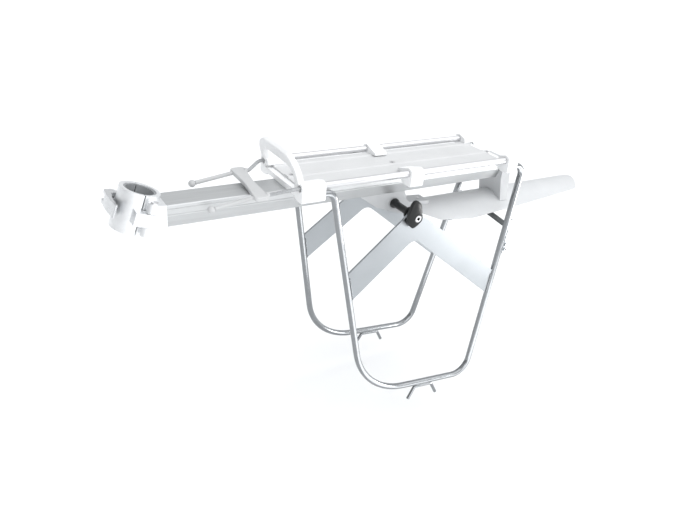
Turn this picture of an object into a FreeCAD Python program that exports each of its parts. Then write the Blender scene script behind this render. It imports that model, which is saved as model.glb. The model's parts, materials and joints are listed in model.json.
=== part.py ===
import FreeCAD, Part
import math
import os
import re
import Sketcher

# Seatpost-clamped rear rack with removable side frames, in millimetres.
# +X points to the bicycle's rear, +Y to its right, +Z up.
# The origin is the centre of the seatpost clamp's bore.

SIZES = {
    # seatpost clamp, drawn square to the post and then leaned back
    "post_tilt": 18.0,
    "post_radius": 13.6,
    "pad_wall": 2.4,
    "jaw_wall": 4.0,
    "clamp_height": 42.0,
    "jaw_gap": 0.5,
    "pad_gap": 0.7,
    "knuckle_x": 8.0,
    "knuckle_y": -25.2,
    "knuckle_radius": 5.5,
    "knuckle_top": 17.0,
    "knuckle_step": 7.0,
    "knuckle_play": 0.3,
    "jaw_pin_radius": 2.5,
    "ear_top": 8.5,
    "ear_reach": 30.0,
    "rear_ear_start": 5.0,
    "rear_ear_end": 19.0,
    "front_ear_start": 10.0,
    "front_ear_end": 3.0,
    "skewer_y": 23.5,
    "skewer_radius": 2.5,
    "skewer_slot": 3.1,
    "barrel_x": 12.0,
    "barrel_radius": 4.0,
    "barrel_half": 8.0,
    "lever_x": -18.5,
    "cam_radius": 5.0,
    "cam_offset": 1.3,
    "cam_half": 6.5,
    "fork_gap": 3.3,
    "eye_radius": 4.0,
    "lever_pin_radius": 2.0,
    "lever_back": 21.5,
    "lever_front": 25.5,
    "lever_tip": -18.0,
    "washer_radius": 6.0,
    "washer_bore": 3.7,
    "washer_thick": 1.9,
    # beam: a hollow extrusion with slanted lower flanks
    "beam_start": 27.0,
    "beam_end": 469.0,
    "beam_top": 6.0,
    "beam_bottom": -20.0,
    "beam_knee": -6.0,
    "beam_half": 17.0,
    "beam_foot": 11.0,
    "beam_wall": 2.4,
    "tenon_length": 20.0,
    # luggage deck and its rails
    "deck_start": 164.0,
    "deck_end": 450.0,
    "deck_half": 40.0,
    "deck_low": 12.0,
    "deck_top": 15.0,
    "screw_sink": 1.8,
    "rail_y": 45.0,
    "rail_z": 17.6,
    "rail_radius": 4.0,
    "rail_start": 160.0,
    "rail_end": 458.0,
    "bracket_low": 3.0,
    "bracket_half": 52.0,
    "front_bracket": 157.0,
    "middle_bracket": 295.5,
    "rear_bracket": 444.0,
    "front_bracket_length": 28.0,
    "middle_bracket_length": 17.5,
    "rear_bracket_length": 16.0,
    "short_tab": 7.0,
    "long_tab": 16.0,
    "tab_top": 24.0,
    # luggage stop: an arch that leans forward
    "stop_lean": 16.0,
    "stop_x": 159.0,
    "stop_half": 46.0,
    "stop_leg": 9.0,
    "stop_rise": 31.0,
    "stop_band": 12.0,
    "stop_thick": 7.0,
    "stop_foot": 22.0,
    # bungee with its cross handle
    "cord_radius": 2.0,
    "finger_radius": 2.2,
    "ball_radius": 4.0,
    "handle_front": 112.0,
    "handle_back": 129.0,
    "handle_half": 36.0,
    "handle_low": 8.2,
    "handle_thick": 5.0,
    "finger_y": 29.0,
    "finger_tip": 68.0,
    "finger_fall": 7.2,
    "handle_roll": 5.9,
    # mudguard with its hanger and rear leg
    "guard_start": 336.0,
    "guard_end": 635.0,
    "guard_radius": 27.0,
    "guard_wall": 2.2,
    "guard_axis_z": -68.5,
    "leg_thick": 12.0,
    "leg_lean": 8.0,
    "leg_foot": -60.0,
    "leg_half": 21.0,
    "hanger_half": 10.0,
    "hanger_start": 257.0,
    "foot_gap": 0.3,
    # side frames: mirrored hoops that splay outwards
    "splay": 3.9,
    "hoop_radius": 4.0,
    "hoop_y": 47.6,
    "hoop_z": 9.4,
    "front_leg_x": 196.8,
    "front_leg_low_x": 253.5,
    "rear_leg_x": 475.0,
    "rear_leg_low_x": 426.0,
    "hoop_front_drop": 279.4,
    "hoop_rear_drop": 298.4,
    "hoop_front_end": 165.0,
    "hoop_rear_end": 448.0,
    "top_bend": 11.0,
    "low_front_bend": 89.0,
    "low_rear_bend": 25.0,
    "socket_play": 0.08,
    "brace_thick": 2.8,
    "hook_radius": 2.2,
    "brace_peak_x": 307.1,
    "brace_peak_z": -34.0,
    "brace_inner_x": 310.9,
    "brace_inner_z": -72.8,
    "brace_front_top": 104.1,
    "brace_front_low": 139.3,
    "brace_rear_top": 143.9,
    "brace_rear_low": 177.2,
    "hook_front": 338.0,
    "hook_back": 366.0,
    "hook_reach": 9.5,
    "hook_fall": 17.0,
    "strap_front": 460.0,
    "strap_back": 469.0,
    "strap_half": 51.8,
    "strap_end_z": -71.0,
    "strap_crown_z": -66.4,
    "strap_thick": 2.5,
    "tab_thick": 2.0,
    "tab_width": 7.0,
    "tab_gap": 2.0,
    "tab_upper": 74.0,
    "tab_weld": 87.0,
    "tab_lower": 121.0,
    "tab_screw_drop": 108.5,
    "tab_screw_step": 6.5,
    # clamping screws that press on the hanger
    "screw_x": 306.8,
    "screw_z": -33.7,
    "bolt_radius": 2.5,
    "bolt_play": 0.05,
    "bush_radius": 5.0,
    "bush_inner": 48.7,
    "bush_outer": 53.2,
    "knob_inner": 54.0,
    "knob_outer": 61.4,
    "sleeve_start": 44.6,
    "sleeve_radius": 4.5,
    "collar_radius": 8.0,
    "foot_radius": 6.3,
}

doc = FreeCAD.newDocument("RearRack")
sheet = doc.addObject("Spreadsheet::Sheet", "Sizes")
for row, (alias, size) in enumerate(SIZES.items(), start=1):
    sheet.set(f"A{row}", alias)
    sheet.set(f"B{row}", str(size))
    sheet.setAlias(f"B{row}", alias)
doc.recompute()


def formula(text):
    """Turns 'beam_half / 2' into 'Sizes.beam_half / 2'."""
    return re.sub(r"[a-z_]\w*", lambda word: f"Sizes.{word[0]}" if word[0] in SIZES else word[0], str(text))


def size(text):
    return float(sheet.evalExpression(formula(text)))


def bind(item, prop, text):
    item.setExpression(prop, formula(text))


def vector(at):
    return FreeCAD.Vector(*[size(part) for part in at])


# ---- sketches -----------------------------------------------------------------------------------


def corner_arc(before, corner, after, radius):
    """Returns the tangent points and the centre of an arc that rounds a corner."""
    back = (before - corner).normalize()
    ahead = (after - corner).normalize()
    half = back.getAngle(ahead) / 2
    reach = radius / math.tan(half)
    middle = (back + ahead).normalize()
    return corner + back * reach, corner + ahead * reach, corner + middle * (radius / math.sin(half))


def trace(sketch, corners, closed=True):
    """Draws straight runs joined by tangent arcs, with every corner and radius held by the sheet.

    Each corner is (x, y) or (x, y, radius), all given as text.
    """
    points = [FreeCAD.Vector(size(corner[0]), size(corner[1]), 0) for corner in corners]
    count = len(points)
    rounded = [len(corner) > 2 and (closed or 0 < k < count - 1) for k, corner in enumerate(corners)]
    starts = list(points)
    ends = list(points)
    arcs = {}
    for k in range(count):
        if rounded[k]:
            radius = size(corners[k][2])
            entry, leave, centre = corner_arc(points[k - 1], points[k], points[(k + 1) % count], radius)
            ends[k], starts[k] = entry, leave
            arcs[k] = (entry, leave, centre, radius)
    runs = count if closed else count - 1
    lines = []
    for k in range(runs):
        lines.append(sketch.addGeometry(Part.LineSegment(starts[k], ends[(k + 1) % count]), False))
    for k in range(count):
        before = lines[k - 1] if (closed or k > 0) else None
        after = lines[k] if k < runs else None
        if k in arcs:
            held = add_arc(sketch, before, after, arcs[k], points[k])
            sketch.setExpression(f"Constraints[{held}]", formula(corners[k][2]))
            spot = (sketch.GeometryCount - 1, 1)
        elif before is None:
            spot = (after, 1)
        else:
            spot = (before, 2)
            if after is not None:
                sketch.addConstraint(Sketcher.Constraint("Coincident", before, 2, after, 1))
        across = ("DistanceX", points[k].x, corners[k][0])
        upward = ("DistanceY", points[k].y, corners[k][1])
        for direction, place, text in (across, upward):
            held = sketch.addConstraint(Sketcher.Constraint(direction, -1, 1, spot[0], spot[1], place))
            sketch.setExpression(f"Constraints[{held}]", formula(text))


def add_arc(sketch, before, after, arc, corner):
    entry, leave, centre, radius = arc
    turn = (entry - centre).cross(leave - centre).z
    first, last = (entry, leave) if turn > 0 else (leave, entry)
    circle = Part.Circle(centre, FreeCAD.Vector(0, 0, 1), radius)
    angles = [math.atan2(p.y - centre.y, p.x - centre.x) for p in (first, last)]
    round_end = sketch.addGeometry(Part.ArcOfCircle(circle, angles[0], angles[1]), False)
    begin, finish = (1, 2) if turn > 0 else (2, 1)
    sketch.addConstraint(Sketcher.Constraint("Tangent", before, 2, round_end, begin))
    sketch.addConstraint(Sketcher.Constraint("Tangent", round_end, finish, after, 1))
    held = sketch.addConstraint(Sketcher.Constraint("Radius", round_end, radius))
    mark = sketch.addGeometry(Part.Point(corner), True)
    sketch.addConstraint(Sketcher.Constraint("PointOnObject", mark, 1, before))
    sketch.addConstraint(Sketcher.Constraint("PointOnObject", mark, 1, after))
    return held


def origin_plane(body, role):
    return next(plane for plane in body.Origin.OriginFeatures if plane.Role == role)


def new_sketch(body, name, plane, offset="0"):
    sketch = body.newObject("Sketcher::SketchObject", name)
    sketch.AttachmentSupport = (origin_plane(body, plane), [""])
    sketch.MapMode = "FlatFace"
    bind(sketch, "AttachmentOffset.Base.z", offset)
    return sketch


# ---- solids -------------------------------------------------------------------------------------


def extrusion(name, plane, corners, low, high):
    """A body padded from an outline; low and high are along X, Y or Z, square to the plane."""
    body = doc.addObject("PartDesign::Body", name)
    offset = f"-({high})" if plane == "XZ_Plane" else low
    sketch = new_sketch(body, name + "_outline", plane, offset)
    trace(sketch, corners)
    pad = body.newObject("PartDesign::Pad", name + "_pad")
    pad.Profile = sketch
    bind(pad, "Length", f"({high}) - ({low})")
    body.Tip = pad
    return body


def turned(name, corners, at=("0", "0", "0"), toward="+Z"):
    """A body revolved from a half outline of (radius, height) corners, its axis along toward."""
    body = doc.addObject("PartDesign::Body", name)
    sketch = new_sketch(body, name + "_profile", "XZ_Plane")
    trace(sketch, corners)
    spin = body.newObject("PartDesign::Revolution", name + "_turn")
    spin.Profile = sketch
    spin.ReferenceAxis = (sketch, ["V_Axis"])
    spin.Angle = 360
    body.Tip = spin
    return aim(body, at, toward)


DIRECTIONS = {
    "+X": (FreeCAD.Vector(0, 1, 0), 90),
    "-X": (FreeCAD.Vector(0, 1, 0), -90),
    "+Y": (FreeCAD.Vector(1, 0, 0), -90),
    "-Y": (FreeCAD.Vector(1, 0, 0), 90),
    "+Z": (FreeCAD.Vector(0, 0, 1), 0),
    "-Z": (FreeCAD.Vector(1, 0, 0), 180),
}


def aim(item, at, toward):
    axis, angle = DIRECTIONS[toward]
    item.Placement = FreeCAD.Placement(vector(at), FreeCAD.Rotation(axis, angle))
    for letter, text in zip("xyz", at):
        bind(item, f"Placement.Base.{letter}", text)
    return item


def rod(name, radius, length, at, toward="+Z"):
    cylinder = doc.addObject("Part::Cylinder", name)
    bind(cylinder, "Radius", radius)
    bind(cylinder, "Height", length)
    return aim(cylinder, at, toward)


def rod_between(name, radius, start, end):
    """A round bar from one point to another, both given as vectors."""
    cylinder = doc.addObject("Part::Cylinder", name)
    bind(cylinder, "Radius", radius)
    cylinder.Height = (end - start).Length
    cylinder.Placement = FreeCAD.Placement(start, FreeCAD.Rotation(FreeCAD.Vector(0, 0, 1), end - start))
    return cylinder


def block(name, low, high):
    box = doc.addObject("Part::Box", name)
    for prop, first, last in zip(("Length", "Width", "Height"), low, high):
        bind(box, prop, f"({last}) - ({first})")
    return aim(box, low, "+Z")


def cut(name, base, *tools):
    result = base
    for k, tool in enumerate(tools, start=1):
        step = doc.addObject("Part::Cut", name if k == len(tools) else f"{name}_cut_{k}")
        step.Base = result
        step.Tool = tool
        step.Refine = True
        result = step
    return result


def fuse(name, *pieces):
    result = doc.addObject("Part::MultiFuse", name)
    result.Shapes = list(pieces)
    result.Refine = True
    return result


def shared(name, *pieces):
    result = doc.addObject("Part::MultiCommon", name)
    result.Shapes = list(pieces)
    result.Refine = True
    return result


def group(name, pieces):
    """One node of separate solids, such as identical screws."""
    result = doc.addObject("Part::Compound", name)
    result.Links = list(pieces)
    return result


def rounded(name, base, radius, pick):
    """Rounds the edges of base that pick accepts."""
    doc.recompute()
    result = doc.addObject("Part::Fillet", name)
    result.Base = base
    edges = [k for k, edge in enumerate(base.Shape.Edges, start=1) if pick(edge)]
    result.Edges = [(k, size(radius), size(radius)) for k in edges]
    return result


def lean_with_post(item):
    """Leans a piece drawn square to the seatpost back about the bore's centre."""
    for letter in "xyz":
        item.setExpression(f"Placement.Base.{letter}", None)
    tilt = FreeCAD.Placement(FreeCAD.Vector(), FreeCAD.Rotation(FreeCAD.Vector(0, 1, 0), size("post_tilt")))
    item.Placement = tilt.multiply(item.Placement)
    return item


def bent_rod(name, corners, radius):
    """A round rod swept along straight runs and arcs in the XZ plane."""
    path = doc.addObject("Sketcher::SketchObject", name + "_path")
    path.Placement = FreeCAD.Placement(FreeCAD.Vector(), FreeCAD.Rotation(FreeCAD.Vector(1, 0, 0), 90))
    trace(path, corners, closed=False)
    ring = doc.addObject("Part::Circle", name + "_ring")
    bind(ring, "Radius", radius)
    points = [FreeCAD.Vector(size(corner[0]), 0, size(corner[1])) for corner in corners[:2]]
    heading = FreeCAD.Rotation(FreeCAD.Vector(0, 0, 1), points[1] - points[0])
    ring.Placement = FreeCAD.Placement(points[0], heading)
    doc.recompute()
    sweep = doc.addObject("Part::Sweep", name)
    sweep.Sections = [ring]
    sweep.Spine = (path, [f"Edge{k}" for k in range(1, len(path.Shape.Edges) + 1)])
    sweep.Solid = True
    sweep.Frenet = False
    return sweep


NODES = []


def node(item):
    item.Label = item.Name
    NODES.append(item)
    return item


def cap_screw(name, radius, length, head_radius, head_height, at, toward):
    """A socket cap screw; its head stands on 'at' and its shank runs back along -toward."""
    body = turned(
        name + "_body",
        [
            ("0", f"-({length})"),
            (radius, f"-({length})"),
            (radius, "0"),
            (head_radius, "0"),
            (head_radius, head_height),
            ("0", head_height),
        ],
        at,
        toward,
    )
    hexagon = doc.addObject("Part::Prism", name + "_key")
    hexagon.Polygon = 6
    bind(hexagon, "Circumradius", f"({head_radius}) * 0.5")
    bind(hexagon, "Height", f"({head_height}) * 2")
    hexagon.Placement = body.Placement.multiply(
        FreeCAD.Placement(FreeCAD.Vector(0, 0, size(f"({head_height}) * 0.45")), FreeCAD.Rotation())
    )
    return cut(name, body, hexagon)


# ---- seatpost clamp -----------------------------------------------------------------------------

JAW_RADIUS = "post_radius + pad_wall + jaw_wall"
HALF_CLAMP = "clamp_height / 2"


def half_ring(name, inner, outer, half_height, gap, side):
    """Half of a tube about the post: side '+' is behind the post, '-' in front of it."""
    ring = cut(
        name + "_tube",
        rod(name + "_outer", outer, f"2 * ({half_height})", ("0", "0", f"-({half_height})")),
        rod(name + "_bore", inner, f"4 * ({half_height})", ("0", "0", f"-2 * ({half_height})")),
    )
    near = gap if side == "+" else "-50"
    far = "50" if side == "+" else f"-({gap})"
    return shared(name, ring, block(name + "_half", (near, "-50", "-50"), (far, "50", "50")))


def knuckle(name, low, high):
    return rod(name, "knuckle_radius", f"({high}) - ({low})", ("knuckle_x", "knuckle_y", low))


def make_rear_jaw():
    ring = half_ring("rear_ring", "post_radius + pad_wall", JAW_RADIUS, HALF_CLAMP, "jaw_gap", "+")
    pieces = [ring]
    for k, (low, high) in enumerate((("knuckle_step", "knuckle_top"), ("-knuckle_top", "-knuckle_step"))):
        pieces.append(knuckle(f"rear_knuckle_{k}", low, high))
        web_low = ("knuckle_x - 4", "knuckle_y", low)
        pieces.append(block(f"rear_knuckle_web_{k}", web_low, ("knuckle_x + knuckle_radius", "-17", high)))
    ear_low = ("rear_ear_start", "12", "-ear_top")
    pieces.append(block("rear_ear", ear_low, ("rear_ear_end", "ear_reach", "ear_top")))
    leaning = lean_with_post(fuse("rear_jaw_cast", *pieces))
    neck = block("neck", ("5", "-beam_half", "beam_bottom"), ("beam_start", "beam_half", "beam_top"))
    behind = block("behind", ("beam_start", "-60", "-60"), ("beam_start + 60", "60", "60"))
    ahead = cut("rear_jaw_ahead", fuse("rear_jaw_whole", leaning, neck), behind)
    tenon_low = ("beam_start - 1", "-beam_foot + 2.6", "beam_bottom + 2.6")
    tenon_high = ("beam_start + tenon_length", "beam_foot - 2.6", "beam_top - 2.6")
    joined = fuse("rear_jaw_solid", ahead, block("tenon", tenon_low, tenon_high))
    bore = lean_with_post(rod("rear_bore", "post_radius + pad_wall", "120", ("0", "0", "-60")))
    pin = lean_with_post(rod("rear_pin_bore", "jaw_pin_radius", "60", ("knuckle_x", "knuckle_y", "-30")))
    barrel = lean_with_post(
        rod("barrel_bore", "barrel_radius", "2 * barrel_half", ("barrel_x", "skewer_y", "-barrel_half"))
    )
    slot_low = ("0", "skewer_y - skewer_slot", "-skewer_slot")
    slot = lean_with_post(block("rear_slot", slot_low, ("barrel_x", "50", "skewer_slot")))
    trimmed = cut("rear_jaw_trimmed", joined, bore, pin, barrel, slot)
    bolts = [rod(f"tenon_tap_{k}", "2", "8", (x, "0", "beam_bottom + 1")) for k, x in enumerate(HEAD_BOLTS)]
    return node(cut("rear_jaw", trimmed, *bolts))


def make_front_jaw():
    ring = half_ring("front_ring", "post_radius + pad_wall", JAW_RADIUS, HALF_CLAMP, "jaw_gap", "-")
    middle = knuckle("front_knuckle", "-knuckle_step + knuckle_play", "knuckle_step - knuckle_play")
    arm_low = ("-8", "knuckle_y - knuckle_radius", "-knuckle_step + knuckle_play")
    arm_high = ("knuckle_x", f"-({JAW_RADIUS}) - 0.9", "knuckle_step - knuckle_play")
    root_high = ("-jaw_gap - 0.5", "-17", "knuckle_step - knuckle_play")
    arm = block("front_arm", arm_low, arm_high)
    root = block("front_arm_root", arm_low, root_high)
    ear_low = ("-front_ear_start", "12", "-ear_top")
    ear = block("front_ear", ear_low, ("-front_ear_end", "ear_reach", "ear_top"))
    whole = fuse("front_jaw_whole", ring, middle, arm, root, ear)
    bore = rod("front_bore", "post_radius + pad_wall", "120", ("0", "0", "-60"))
    pin = rod("front_pin_bore", "jaw_pin_radius + bolt_play", "60", ("knuckle_x", "knuckle_y", "-30"))
    slot_low = ("-20", "skewer_y - skewer_slot", "-skewer_slot")
    slot = block("front_slot", slot_low, ("0", "50", "skewer_slot"))
    return node(lean_with_post(cut("front_jaw", whole, bore, pin, slot)))


def make_pads():
    half = "clamp_height / 2 - 1"
    for side, name in (("+", "rear_jaw_pad"), ("-", "front_jaw_pad")):
        node(lean_with_post(half_ring(name, "post_radius", "post_radius + pad_wall", half, "pad_gap", side)))


def make_jaw_pin():
    head = rod("jaw_pin_head", "jaw_pin_radius + 1.2", "1.5", ("knuckle_x", "knuckle_y", "knuckle_top"))
    low_end = ("knuckle_x", "knuckle_y", "-knuckle_top")
    shank = rod("jaw_pin_shank", "jaw_pin_radius", "2 * knuckle_top", low_end)
    node(lean_with_post(fuse("jaw_hinge_pin", head, shank)))


def make_skewer():
    shaft = rod("skewer_shaft", "skewer_radius", "barrel_x - lever_x", ("lever_x", "skewer_y", "0"), "+X")
    eye = rod("skewer_eye", "eye_radius", "2 * fork_gap - 0.6", ("lever_x", "skewer_y", "0.3 - fork_gap"))
    whole = fuse("skewer_whole", shaft, eye)
    bore = rod("skewer_eye_bore", "lever_pin_radius + bolt_play", "20", ("lever_x", "skewer_y", "-10"))
    node(lean_with_post(cut("skewer", whole, bore)))
    barrel_at = ("barrel_x", "skewer_y", "-barrel_half")
    barrel = rod("barrel", "barrel_radius", "2 * barrel_half", barrel_at)
    tap = rod("barrel_tap", "skewer_radius", "30", ("barrel_x - 30", "skewer_y", "0"), "+X")
    node(lean_with_post(cut("barrel_nut", barrel, tap)))
    washer = rod("washer_disc", "washer_radius", "washer_thick", ("-front_ear_start", "skewer_y", "0"), "-X")
    hole = rod("washer_hole", "washer_bore", "20", ("-front_ear_start + 5", "skewer_y", "0"), "-X")
    node(lean_with_post(cut("cam_washer", washer, hole)))


def make_lever():
    cam = rod("cam", "cam_radius", "2 * cam_half", ("lever_x + cam_offset", "skewer_y", "-cam_half"))
    arm = extrusion(
        "lever_arm",
        "XY_Plane",
        [
            ("-lever_front", "skewer_y + 2", "2"),
            ("-lever_front - 1", "2", "60"),
            ("-lever_front + 1", "lever_tip", "1"),
            ("-lever_back - 0.5", "lever_tip", "1"),
            ("-lever_back - 1.5", "2", "60"),
            ("-lever_back + 2", "skewer_y - 3"),
            ("-lever_back + 2", "skewer_y + 2"),
        ],
        "-cam_half",
        "cam_half",
    )
    fork_low = ("-lever_front - 5", "skewer_y - eye_radius - 3", "-fork_gap")
    fork = block("lever_fork", fork_low, ("-front_ear_start", "40", "fork_gap"))
    pin_bore = rod("lever_pin_bore", "lever_pin_radius", "30", ("lever_x", "skewer_y", "-15"))
    whole = fuse("lever_whole", cam, arm)
    node(lean_with_post(cut("quick_release_lever", whole, fork, pin_bore)))
    pin = rod("lever_pin", "lever_pin_radius", "2 * cam_half", ("lever_x", "skewer_y", "-cam_half"))
    node(lean_with_post(pin))


# ---- beam and deck ------------------------------------------------------------------------------


def beam_outline(inset):
    """The beam's cross-section in Y and Z, drawn smaller by inset."""
    side = f"beam_half - {inset}"
    foot = f"beam_foot - {inset} * 0.8"
    top = f"beam_top - {inset}"
    bottom = f"beam_bottom + {inset}"
    return [
        (f"-({side})", top, "1.2"),
        (f"-({side})", "beam_knee", "1.5"),
        (f"-({foot})", bottom, "1.5"),
        (foot, bottom, "1.5"),
        (side, "beam_knee", "1.5"),
        (side, top, "1.2"),
    ]


def make_beam():
    body = extrusion("beam_bar", "YZ_Plane", beam_outline("0"), "beam_start", "beam_end")
    core = extrusion("beam_core", "YZ_Plane", beam_outline("beam_wall"), "beam_start - 5", "beam_end + 5")
    under = "beam_bottom - 1"
    holes = [rod(f"tenon_hole_{k}", "2", "6", (x, "0", under)) for k, x in enumerate(HEAD_BOLTS)]
    holes += [rod(f"hanger_hole_{k}", "2", "6", (x, "0", under)) for k, x in enumerate(HANGER_SCREWS)]
    for k, x in enumerate((*DECK_SCREWS, END_SCREW)):
        holes.append(rod(f"deck_tap_{k}", "2", "6", (x, "0", "beam_top - beam_wall - 1")))
    grooves = []
    for k, side in enumerate(("-", "")):
        for j, height in enumerate(("beam_knee + 1.2", "beam_knee + 7.4")):
            low = ("beam_start - 1", f"{side}beam_half - 0.5", height)
            high = ("beam_end + 1", f"{side}beam_half + 0.5", f"{height} + 1")
            grooves.append(block(f"beam_groove_{k}_{j}", low, high))
    node(cut("beam", body, core, *holes, *grooves))
    screws = [
        cap_screw(f"head_bolt_{k}", "2", "9", "3.5", "3", (x, "0", "beam_bottom"), "-Z")
        for k, x in enumerate(HEAD_BOLTS)
    ]
    node(group("head_bolts", screws))


HEAD_BOLTS = ("beam_start + 6", "beam_start + 14")
HANGER_SCREWS = ("hanger_start + 12", "hanger_start + 48")


def make_deck():
    """A thin plate with two shallow channels pressed along it and sunk screw heads."""
    outline = [
        ("-deck_half", "deck_low"),
        ("-deck_half", "deck_top", "1"),
        ("-deck_half + 9", "deck_top", "1.5"),
        ("-deck_half + 11", "deck_top - 1.2", "1.5"),
        ("-6", "deck_top - 1.2", "1.5"),
        ("-4", "deck_top", "1.5"),
        ("4", "deck_top", "1.5"),
        ("6", "deck_top - 1.2", "1.5"),
        ("deck_half - 11", "deck_top - 1.2", "1.5"),
        ("deck_half - 9", "deck_top", "1.5"),
        ("deck_half", "deck_top", "1"),
        ("deck_half", "deck_low"),
    ]
    plate = extrusion("deck_sheet", "YZ_Plane", outline, "deck_start", "deck_end")
    seat = "deck_top - screw_sink"
    holes = [rod(f"deck_hole_{k}", "2", "20", (x, "0", "0")) for k, x in enumerate(DECK_SCREWS)]
    seats = [rod(f"deck_seat_{k}", "3.7", "5", (x, "0", seat)) for k, x in enumerate(DECK_SCREWS)]
    node(cut("deck_plate", plate, *holes, *seats))
    screws = []
    for k, (x, seat) in enumerate([(x, seat) for x in DECK_SCREWS] + [(END_SCREW, "deck_low")]):
        shank = f"{seat} - beam_top + beam_wall"
        screws.append(cap_screw(f"deck_screw_{k}", "2", shank, "3.5", "screw_sink", (x, "0", seat), "+Z"))
    node(group("deck_screws", screws))


DECK_SCREWS = ("front_bracket + front_bracket_length / 2", "middle_bracket + middle_bracket_length / 2")
END_SCREW = "rear_bracket + rear_bracket_length - 5"


def make_rails():
    for side, name in (("-", "left_rail"), ("", "right_rail")):
        at = ("rail_start", f"{side}rail_y", "rail_z")
        bar = rod(name + "_bar", "rail_radius", "rail_end - rail_start", at, "+X")
        mouth = ("rail_start - 10", f"{side}rail_y", "rail_z")
        hollow = rod(name + "_hollow", "rail_radius - 1.2", "rail_end - rail_start + 20", mouth, "+X")
        node(cut(name, bar, hollow))


def cheek(name, side, start, length, low, reach):
    """The end of a bracket: a block round the rail whose tab laps over the deck's edge."""
    lip = f"deck_half - {reach}"
    lip_top = f"tab_top - 0.3 * (rail_y - deck_half + {reach})"
    if side == "-":
        outline = [
            ("-bracket_half", low, "2"),
            ("-bracket_half", "tab_top - 2", "4"),
            ("-rail_y", "tab_top", "3"),
            (f"-({lip})", lip_top, "1.5"),
            (f"-({lip})", "deck_top"),
            ("-deck_half - 0.2", "deck_top"),
            ("-deck_half - 0.2", "beam_top + 4"),
            ("-deck_half + 6", "beam_top + 4"),
            ("-deck_half + 6", "beam_top - 2", "2"),
            ("-bracket_half + 9", low, "2"),
        ]
    else:
        outline = [
            ("bracket_half", low, "2"),
            ("bracket_half - 9", low, "2"),
            ("deck_half - 6", "beam_top - 2", "2"),
            ("deck_half - 6", "beam_top + 4"),
            ("deck_half + 0.2", "beam_top + 4"),
            ("deck_half + 0.2", "deck_top"),
            (lip, "deck_top"),
            (lip, lip_top, "1.5"),
            ("rail_y", "tab_top", "3"),
            ("bracket_half", "tab_top - 2", "4"),
        ]
    return extrusion(name, "YZ_Plane", outline, start, f"{start} + {length}")


def make_bracket(name, start, length, low, reach, screw, socket=None):
    web = block(
        name + "_web",
        (start, "-deck_half", "beam_top"),
        (f"{start} + {length}", "deck_half", "deck_low"),
    )
    left = cheek(name + "_left", "-", start, length, low, reach)
    right = cheek(name + "_right", "", start, length, low, reach)
    whole = fuse(name + "_whole", web, left, right)
    tools = []
    for side in ("-", ""):
        tag = "left" if side else "right"
        mouth = (f"{start} - 10", f"{side}rail_y", "rail_z")
        tools.append(rod(f"{name}_{tag}_rail", "rail_radius", "60", mouth, "+X"))
        if socket:
            depth = (socket, f"{side}hoop_y", "hoop_z")
            tools.append(rod(f"{name}_{tag}_socket", "hoop_radius + socket_play", "60", depth, "+X"))
    tools.append(rod(name + "_screw_hole", "2", "60", (screw, "0", "-20")))
    node(cut(name, whole, *tools))


def make_brackets():
    low = "hoop_z - 7"
    front = ("front_bracket", "front_bracket_length", low, "short_tab", DECK_SCREWS[0], "hoop_front_end - 1")
    middle = ("middle_bracket", "middle_bracket_length", "bracket_low", "long_tab", DECK_SCREWS[1])
    rear = ("rear_bracket", "rear_bracket_length", low, "short_tab", END_SCREW, "hoop_rear_end - 1")
    make_bracket("front_bracket_cross", *front)
    make_bracket("middle_bracket_cross", *middle)
    make_bracket("rear_bracket_cross", *rear)


def make_luggage_stop():
    """A flat band bent into an arch, its feet standing on the front bracket."""
    arch = extrusion(
        "stop_band_outline",
        "YZ_Plane",
        [
            ("-stop_half", "0", "2"),
            ("-stop_half", "stop_rise", "22"),
            ("stop_half", "stop_rise", "22"),
            ("stop_half", "0", "2"),
            ("stop_half - stop_leg", "0", "2"),
            ("stop_half - stop_leg", "stop_rise - stop_band", "12"),
            ("-stop_half + stop_leg", "stop_rise - stop_band", "12"),
            ("-stop_half + stop_leg", "0", "2"),
        ],
        "-stop_thick / 2",
        "stop_thick / 2",
    )
    lean = FreeCAD.Rotation(FreeCAD.Vector(0, 1, 0), -size("stop_lean"))
    arch.Placement = FreeCAD.Placement(vector(("stop_x", "0", "stop_foot - 1")), lean)
    rounded_arch = rounded("stop_soft", arch, "1.4", lambda edge: edge.Length > 6.5 and flat_loop(edge))
    rails = [
        rod(f"stop_rail_space_{k}", "rail_radius", "60", ("stop_x - 30", side + "rail_y", "rail_z"), "+X")
        for k, side in enumerate(("-", ""))
    ]
    node(cut("luggage_stop", rounded_arch, doc.front_bracket_cross, *rails))


def flat_loop(edge):
    """True for an edge that runs round the arch and not through its thickness."""
    middle = edge.tangentAt((edge.FirstParameter + edge.LastParameter) / 2)
    lean = math.radians(size("stop_lean"))
    through = FreeCAD.Vector(math.cos(lean), 0, math.sin(lean))
    return abs(middle.dot(through)) < 0.5


def held(x, y):
    """A point of the handle's middle level after the handle has rolled down to the left."""
    level = size("handle_low + handle_thick / 2")
    roll = math.radians(size("handle_roll"))
    return FreeCAD.Vector(size(x), size(y) * math.cos(roll), level + size(y) * math.sin(roll))


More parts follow.
